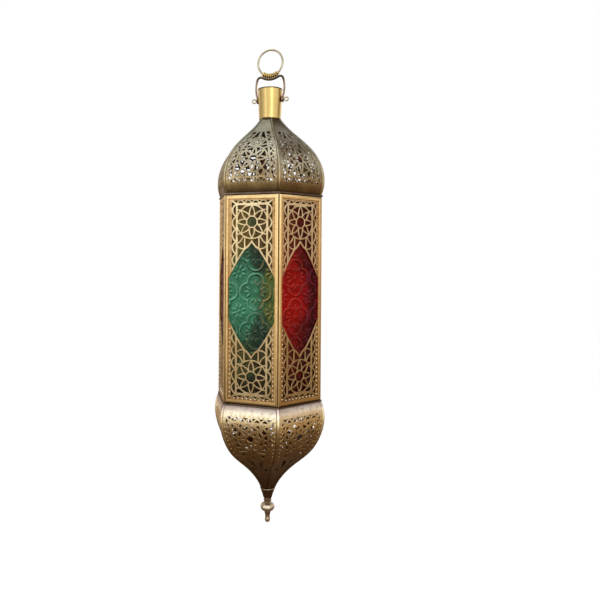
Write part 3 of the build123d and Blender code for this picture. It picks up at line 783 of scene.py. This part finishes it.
upper = Dome("upper_dome_ribs", UPPER_START, UPPER_END)
lower = Dome("lower_dome_ribs", LOWER_START, LOWER_END)
UPPER_SIZES = dict(band=10.5, top=70.0, centre=33.0, radius=13.8, crown=54.6, crown_radius=6.4,
                   arches=6, row=3.6, shrink=0.12, inner=0.0)
LOWER_SIZES = dict(band=10.5, top=78.0, centre=31.0, radius=13.4, crown=53.5, crown_radius=7.2,
                   arches=5, row=4.3, shrink=0.7, inner=9.3)
for dome, word, sizes, finish, bead_finish in (
    (upper, "upper", UPPER_SIZES, "brass_dome", "brass_dome"),
    (lower, "lower", LOWER_SIZES, "brass_dark", "brass_bead"),
):
    gore = new_object(f"{word}_gore_front_sheet", gore_mesh(dome, **sizes), finish, 40)
    place_round(gore, TURNS, finish, f"{word}_gore_front")
    beads = new_object(f"{word}_gore_front_beads", gore_beads(dome), bead_finish, 60)
    place_round(beads, TURNS, finish)
    ribs = new_object(f"{word}_dome_ridges", rib_mesh(dome), finish, 50)
    place(ribs, "lantern", finish, f"{word}_dome_ribs")


# Panel frames
DOOR_PLAY = 0.4


def frame_mesh(half_height):
    """Frame swept round the panel: rounded face, thin inner bead, and a rebate at the back."""
    side_gap, width = 0.9, 3.72
    half_face = CORNER_RADIUS / 2 - side_gap / COS_30
    slope = math.tan(math.pi / 6)
    profile = [(0.0, 2.6), (0.0, 1.3), (0.12, 0.98), (0.34, 0.68), (0.66, 0.42), (1.05, 0.22),
               (1.5, 0.08), (2.0, 0.0), (2.45, 0.0), (2.9, 0.06), (3.1, 0.1), (3.2, 0.26), (3.4, 0.26),
               (3.5, 0.16), (width, 0.45), (width, 1.0), (2.2, 1.0), (2.2, 2.6)]
    rows = []
    for su, sv in CORNERS:
        row = []
        for across, depth in profile:
            share = across / width
            u = half_face - share * (half_face - OPENING_U) - (depth * slope if share == 0 else 0)
            v = half_height - share * (half_height - OPENING_V)
            row.append((su * u, -APOTHEM + depth, BODY_MID + sv * v))
        rows.append(row)
    return loft(rows, closed=True)


front_frame = new_object("front_frame_moulded", frame_mesh(BODY_HALF), "brass_frame", 30)
place_round(front_frame, FIXED_PANELS, "brass_frame", "front_frame")
door_frame = new_object("door_frame_moulded", frame_mesh(BODY_HALF - DOOR_PLAY), "brass_frame", 30)
place(door_frame, "door", "brass_frame", "door_frame", turn=PANELS["door"])


def solder_mesh():
    """Dark seams in the grooves between the fixed panels."""
    half_height = 98.2
    section = ((52.6, -0.85), (53.1, -0.8), (53.3, 0), (53.1, 0.8), (52.6, 0.85))
    seam = [[(out, across, BODY_MID + up * half_height) for out, across in section] for up in (-1, 1)]
    points, faces = loft(seam)
    return joined(*[(turned(points, angle), faces) for angle in (0, -60, -120, 180)])


solder = new_object("corner_solder", solder_mesh(), "brass_seam")
place(solder, "lantern", "wire_dark")


# Pressed glass
def wrapped(x, pitch):
    """Offset from the nearest of a row of repeats."""
    return (x + pitch / 2) % pitch - pitch / 2


def leaf(a, b, angle, start, length, rise, width=2.5):
    """Height of a leaf that points along an angle from a start."""
    along = a * math.cos(angle) + b * math.sin(angle)
    across = b * math.cos(angle) - a * math.sin(angle)
    inside = ((along - start - length / 2) / (length / 2)) ** 2 + (across / (width / 2)) ** 2
    return rise * np.clip(1.15 - inside, 0, 1)


def boss(a, b, radius, rise=0.8):
    """Height of a round boss."""
    return rise * np.exp(-(np.hypot(a, b) / radius) ** 2)


def relief(u, v):
    """Height of the pressed pattern: touching quatrefoils with leaf sprays, and flowers between them."""
    pitch_u, pitch_v = 33.9, 36.8
    lobe_u, lobe_v, lobe_radius, line_width = 7.6, 8.8, 8.1, 0.95
    spray_u, spray_v, spray_spread, core = 3.8, 4.2, 0.75, 8
    a, b = wrapped(u, pitch_u), wrapped(v, pitch_v)
    centres = ((lobe_u, 0), (-lobe_u, 0), (0, lobe_v), (0, -lobe_v))
    lobes = np.min([np.hypot(a - x, b - y) for x, y in centres], axis=0)
    height = np.exp(-((lobes - lobe_radius) / line_width) ** 2) * (np.abs(a) + np.abs(b) > core)
    for way in TAU / 4 * np.arange(4):
        foot_a, foot_b = a - spray_u * math.cos(way), b - spray_v * math.sin(way)
        for turn in (-spray_spread, 0.0, spray_spread):
            height += leaf(foot_a, foot_b, way + turn, start=1.9, length=5.6, rise=0.8)
    height += boss(a, b, 1.7)
    a, b = wrapped(u - pitch_u / 2, pitch_u), wrapped(v - pitch_v / 2, pitch_v)
    for way in TAU / 8 * (np.arange(8) + 0.5):
        height += leaf(a, b, way, start=2.6, length=5.2, rise=0.9)
    height += boss(a, b, 1.5)
    return np.clip(height, 0, 1.1)


def faded(values, start, span):
    """0 up to a start, then rising to 1 over a span."""
    return np.clip((values - start) / span, 0, 1)


def tone_layers(uu, vv, height, slope_u, slope_v):
    """Layers of painted light that the glass is toned by: painted highlights on the lit sides and crests of
    the lines, painted shade on their other sides, behind the fretwork and towards the margins.
    """
    # Direction that the painted highlights face, and how strong the painted highlights and painted shade
    # are
    light_u, light_v = 0.55, -0.83
    crest, most_painted_highlight, highlight_in_fret_shade = 0.36, 0.95, 0.12
    lee, most_shade = 1.2, 0.9
    lit = light_u * slope_u + light_v * slope_v
    open_by = np.minimum(window_edge(uu) - np.abs(vv), 40 * (OPENING_U - np.abs(uu)))
    clear = np.clip(open_by * 0.5 + 0.4, 0, 1)
    # Painted shade where the fretwork stands in front of the glass, deeper on the lower half
    sooty = 1 - clear
    low_fret_shade = 0.42 * sooty
    behind_hole = np.hypot(uu, np.abs(vv) - ROSETTE_V) < ROSETTE_HOLE
    return {
        "raised": np.clip(lit + crest * height, 0, most_painted_highlight) * (1 - (1 - highlight_in_fret_shade) * sooty),
        "shade": np.maximum(np.clip(-lee * lit, 0, most_shade) * clear, low_fret_shade * faded(-vv, 20, 40)),
        "sooty": sooty * (1 - 0.6 * behind_hole),
        "edge": faded(uu, 11.5, 4),
        "ends": faded(np.abs(vv), 26, 20) * clear,
    }


def glass_mesh(shift):
    """Pane with the pattern raised on its outer face, shifted by its cut, and layers for its tone."""
    step, sunk, rise = 0.45, 0.85, 0.6
    us = np.linspace(-GLASS_U, GLASS_U, int(2 * GLASS_U / step) + 1)
    vs = np.linspace(-GLASS_V, GLASS_V, int(2 * GLASS_V / step) + 1)
    uu, vv = np.meshgrid(us, vs, indexing="ij")
    height = relief(uu - shift[0], vv - shift[1])
    depth = GLASS_FRONT + sunk - rise * height
    verts = np.column_stack([uu.ravel(), -APOTHEM + depth.ravel(), BODY_MID + vv.ravel()])
    first = len(verts)
    index = np.arange(first).reshape(uu.shape)
    quads = np.stack([index[:-1, :-1], index[1:, :-1], index[1:, 1:], index[:-1, 1:]], -1)
    rim = [*index[:, 0], *index[-1, 1:], *index[-2::-1, -1], *index[0, -2:0:-1]]
    n = len(rim)
    back = verts[rim]
    back[:, 1] = -APOTHEM + GLASS_BACK
    faces = quads.reshape(-1, 4).tolist()
    faces += [(rim[k], first + k, first + (k + 1) % n, rim[(k + 1) % n]) for k in range(n)]
    faces.append(tuple(first + k for k in range(n - 1, -1, -1)))
    layers = {name: np.concatenate([layer.ravel(), np.zeros(n)])
              for name, layer in tone_layers(uu, vv, height, *np.gradient(height, us, vs)).items()}
    layers["inner"] = np.concatenate([np.zeros(first), np.ones(n)])
    return (np.vstack([verts, back]), faces), layers


for panel, (finish, shift) in PANES.items():
    skin, layers = glass_mesh(shift)
    pane = new_object(f"{panel}_pane", skin, finish, 60)
    for layer, values in layers.items():
        attribute = pane.data.attributes.new(layer, "FLOAT", "POINT")
        attribute.data.foreach_set("value", values.astype(np.float32))
    place(pane, body_of(panel), finish, f"{panel}_glass", turn=PANELS[panel])


# Handle
def upright(points):
    """Points of a line in the X-Z plane."""
    return [(x, 0, z) for x, z in points]


ring_line = upright(arc((0, RING_Z), RING_RADIUS, 0, 360, 96)[:-1])
ring = new_object("hang_ring_wire", tube(ring_line, RING_WIRE, 14, closed=True), "wire_pale")
place(ring, "handle", "wire_pale", "hang_ring")


def bail_half():
    """Right half of the bail's centre line, from the middle of the saddle to its eye."""
    saddle_radius, saddle_turn = 16.6, 31
    shoulder_radius, shoulder_turn = 3.5, 103
    saddle = arc((0, RING_Z), saddle_radius, -90, -90 + saddle_turn, 12)
    x, z = saddle[-1]
    heading = math.radians(saddle_turn)
    centre = (x + shoulder_radius * math.sin(heading), z - shoulder_radius * math.cos(heading))
    shoulder = arc(centre, shoulder_radius, 90 + saddle_turn, 90 + saddle_turn - shoulder_turn, 14)
    start, end = np.array((shoulder[-1], (EYE_X, PIVOT_Z + EYE_RADIUS)))
    heading = math.radians(saddle_turn - shoulder_turn)
    normal = np.array((math.sin(heading), -math.cos(heading)))
    run = end - start
    radius = run @ run / (2 * run @ normal)
    centre = start + radius * normal
    angles = [math.degrees(math.atan2(z, x)) for x, z in (start - centre, end - centre)]
    leg = arc(centre, abs(radius), *angles, 14)
    return saddle + shoulder[1:] + leg[1:]


LEG_TOP = -30
half = bail_half()
bail_line = upright([(-x, z) for x, z in half[:0:-1]] + half)
bail_radii = [BAIL_WIRE if z > LEG_TOP else LEG_WIRE for _, _, z in bail_line]
eye = arc((PIVOT_Z, 0), EYE_RADIUS, 0, 360, 40)[:-1]
eyes = [tube([(x, y, z) for z, y in eye], BAIL_WIRE, closed=True) for x in (EYE_X, -EYE_X)]
bail = new_object("bail_wire", joined(tube(bail_line, bail_radii), *eyes), "wire_dark")
place(bail, "handle", "wire_dark", "bail")


def lash_line(turns=9, pitch=1.92, lash=1.74, count=40):
    """Helix of the lashing round the ring's lower side."""
    turn = np.arange(turns * count + 1) / count
    along = (turn - turns / 2) * pitch / RING_RADIUS
    reach = RING_RADIUS + lash * np.cos(TAU * turn)
    z = RING_Z - reach * np.cos(along)
    return np.column_stack([reach * np.sin(along), lash * np.sin(TAU * turn), z])


LASH_WIRE = 0.72
wrap = new_object("wire_wrap_coil", tube(lash_line(), LASH_WIRE), "wire_brass")
place(wrap, "handle", "wire_brass", "wire_wrap")

LOOP_RADIUS, LOOP_GAP = 1.9, 0.3
loop_x = EYE_X + BAIL_WIRE + LOOP_GAP + LOOP_RADIUS + PIVOT_WIRE
right_loop = arc((loop_x, PIVOT_Z), LOOP_RADIUS, 171.4, -140.86, 33)
left_loop = [(-x, z) for x, z in right_loop][::-1]
cross_x = [LOOP_RADIUS - loop_x, *np.linspace(-11, 11, 9), loop_x - LOOP_RADIUS]
pivot_line = upright(left_loop + [(x, PIVOT_Z) for x in cross_x] + right_loop)
pivot = new_object("pivot_wire_curled", tube(pivot_line, PIVOT_WIRE), "wire_pale")
place(pivot, "lantern", "wire_pale", "pivot_wire")


# Neck, cap and finial
lip = [(11.3, 1.15), (11.2, 0.55), (11.35, 0.15), (11.8, 0.0), (12.25, 0.1), (12.45, 0.45), (12.4, 0.85),
       (12.15, 1.15), (11.3, 1.15)]
# The lip takes the dark plate brass as painted shade along the rim.
neck_lip = new_object("neck_lip", lathe(lip, LIP_TOP, 96), "brass_plate")
place(neck_lip, "lantern", "wire_dark")

cap_profile = [(0, 0), (7.3, 0), (7.6, 0.2), (7.6, 0.7), (7.2, 1.0), (6.6, 2.7), (5.6, 5.3), (4.9, 7.5),
               (4.5, 9.3), (4.0, CAP_HEIGHT), (0, CAP_HEIGHT)]
cap = new_object("lower_cap_turned", lathe(cap_profile, LOWER_END), "brass_dark", 40)
place(cap, "lantern", "brass_dark", "lower_cap")

seam_profile = arc((7.3, 0.3), 0.38, 360, 0, 10)
cap_seam = new_object("lower_cap_seam", lathe(seam_profile, LOWER_END), "brass_tip", 60)
place(cap_seam, "lantern", "brass_dark")

finial_profile = [(0, 0), (3.8, 0), (3.8, 1.1), (3.3, 1.4), (3.3, 2.0), (3.9, 2.3), (3.9, 3.0), (3.3, 3.3),
                  (3.2, 4.5), (3.8, 5.3)]
finial_profile += arc((3.8, 9.2), 3.2, -72.81, 0, 6, rise=3.7)
finial_profile += arc((3.5, 9.2), 3.5, 11.46, 90, 6, rise=3.9)
finial_profile += [(3.3, 13.7), (3.0, 14.9), (2.6, 16.5), (2.3, 18.3), (2.3, 19.7), (2.55, 21.1)]
finial_profile += arc((0, 22.4), 2.6, 5.73, 90, 7)
finial = new_object("finial_turned", lathe(finial_profile, LOWER_END - CAP_HEIGHT, 48), "brass_tip", 40)
place(finial, "lantern", "brass_dark", "finial")


# Studio, in metres
AMBIENT_COLOUR, AMBIENT_STRENGTH = (1.0, 0.97, 0.93), 0.7
AIM = Vector((0, 0, -0.24))


def uneven(tree, colour, scale, start, end, darkest):
    """Colour that drifts between itself and a share of itself."""
    stops = [(start, colour), (end, tuple(c * darkest for c in colour))]
    return ramp(tree, noise(tree, object_coords(tree), scale), stops)


def backdrop(name, colour):
    """Pale floor: what the ambient light leaves short of white is added for the camera, metal and glass."""
    tree, surface = shader(name)
    set_sockets(tree, surface, {"Base Color": uneven(tree, colour, 3, 0.3, 0.7, 0.96), "Roughness": 0.9})
    short = [1 - AMBIENT_STRENGTH * c * a for c, a in zip(colour, AMBIENT_COLOUR)]
    glow = add_node(tree, "Emission", {"Color": short, "Strength": plainly_seen(tree)})
    both = add_node(tree, "AddShader", {0: surface.outputs["BSDF"], 1: glow.outputs["Emission"]})
    set_sockets(tree, tree.nodes["Material Output"], {"Surface": both.outputs["Shader"]})


def plane(name, centre, size, finish, rotation=(0, 0, 0)):
    """Flat piece of the studio."""
    bpy.ops.mesh.primitive_plane_add(size=1, location=centre, rotation=rotation)
    obj = bpy.context.object
    obj.name = name
    obj.scale = (size[0], size[1], 1)
    obj.data.materials.append(MATERIALS[finish])
    return obj


def facing(direction, distance):
    """Place and rotation that face the lantern from an azimuth and elevation in degrees."""
    az, el = (math.radians(a) for a in direction)
    way = Vector((math.cos(az) * math.cos(el), math.sin(az) * math.cos(el), math.sin(el)))
    return AIM + way * distance, way.to_track_quat("Z", "Y").to_euler()


def card(name, direction, distance, size, colour):
    """Studio card that only metal and glass mirror."""
    tree, surface = shader(name)
    tree.nodes.remove(surface)
    glow = add_node(tree, "Emission", {"Color": uneven(tree, colour, 2, 0.2, 0.8, 0.85)})
    set_sockets(tree, tree.nodes["Material Output"], {"Surface": glow.outputs["Emission"]})
    centre, rotation = facing(direction, distance)
    obj = plane(name, centre, size, name, rotation)
    obj.visible_camera = obj.visible_diffuse = obj.visible_transmission = obj.visible_shadow = False


def softbox(name, direction, distance, size, power, colour=(1, 1, 1)):
    """Area lamp that looks at the lantern."""
    light = bpy.data.lights.new(name, "AREA")
    light.shape = "RECTANGLE"
    light.size, light.size_y = size
    light.energy = power
    light.color = colour
    obj = linked(name, light)
    obj.location, obj.rotation_euler = facing(direction, distance)


backdrop("floor_pale", (0.95, 0.94, 0.92))
plane("floor", (0, 0, -0.95), (14, 14), "floor_pale")
card("card_right", (20, -31), 1.1, (1.1, 1.05), (0.48, 0.35, 0.21))
card("card_right_far", (20, 0), 5.0, (5.0, 0.95), (0.58, 0.32, 0.21))
card("card_side", (132, -6), 1.1, (0.75, 1.3), (0.52, 0.37, 0.26))
card("card_neck_right", (33, 20), 1.1, (0.66, 0.34), (0.24, 0.155, 0.09))
card("card_left", (-172, 0), 1.1, (0.9, 2.2), (0.42, 0.33, 0.22))
card("card_neck", (-150, 20), 1.1, (1.0, 0.34), (0.56, 0.56, 0.62))
card("card_band", (-112, 25), 3.3, (1.35, 0.62), (0.15, 0.115, 0.14))
card("card_over", (25, 70), 1.3, (1.3, 1.0), (0.26, 0.17, 0.10))
card("card_below", (0, -90), 0.62, (3.0, 3.0), (0.19, 0.13, 0.08))
softbox("key", (-54, 12), 1.5, (0.42, 1.5), 4.0, (1.0, 0.97, 0.90))
softbox("fill", (-125, 20), 1.8, (1.0, 1.4), 3.0)
softbox("top", (-110, 72), 1.5, (1.0, 1.0), 3.5, (0.90, 0.97, 1.0))

# World: white where it is seen, and a softer ambient light on the object
world = bpy.data.worlds.new("studio")
bpy.context.scene.world = world
world.use_nodes = True
tree = world.node_tree
tree.nodes.clear()
plain = add_node(tree, "Background", {"Color": (1, 1, 1), "Strength": 1.0})
ambient = add_node(tree, "Background", {"Color": AMBIENT_COLOUR, "Strength": AMBIENT_STRENGTH})
mix = add_node(tree, "MixShader", {
    0: plainly_seen(tree), 1: ambient.outputs["Background"], 2: plain.outputs["Background"],
})
add_node(tree, "OutputWorld", {"Surface": mix.outputs["Shader"]})

# Camera: level, on the side of the front and front right panels, framed by shift
CAMERA_AZIMUTH = math.radians(-69.4)
DISTANCE, FOCAL_PX, IMAGE_PX, SENSOR = 0.644, 644.0, 600.0, 36.0
AXIS_X, HORIZON_Y, HORIZON_Z, ROLL = 269.1, 259.0, -0.208, 0.37
camera_data = bpy.data.cameras.new("camera")
camera_data.sensor_width = SENSOR
camera_data.lens = SENSOR * FOCAL_PX / IMAGE_PX
camera_data.clip_start = 0.01
camera_data.shift_x = (IMAGE_PX / 2 - AXIS_X) / IMAGE_PX
camera_data.shift_y = (HORIZON_Y - IMAGE_PX / 2) / IMAGE_PX
camera = linked("camera", camera_data)
camera.location = (DISTANCE * math.cos(CAMERA_AZIMUTH), DISTANCE * math.sin(CAMERA_AZIMUTH), HORIZON_Z)
level = Euler((math.pi / 2, 0, CAMERA_AZIMUTH + math.pi / 2)).to_matrix()
camera.rotation_euler = (level @ Matrix.Rotation(math.radians(ROLL), 3, "Z")).to_euler()
bpy.context.scene.camera = camera
bpy.context.scene.view_settings.view_transform = "Standard"
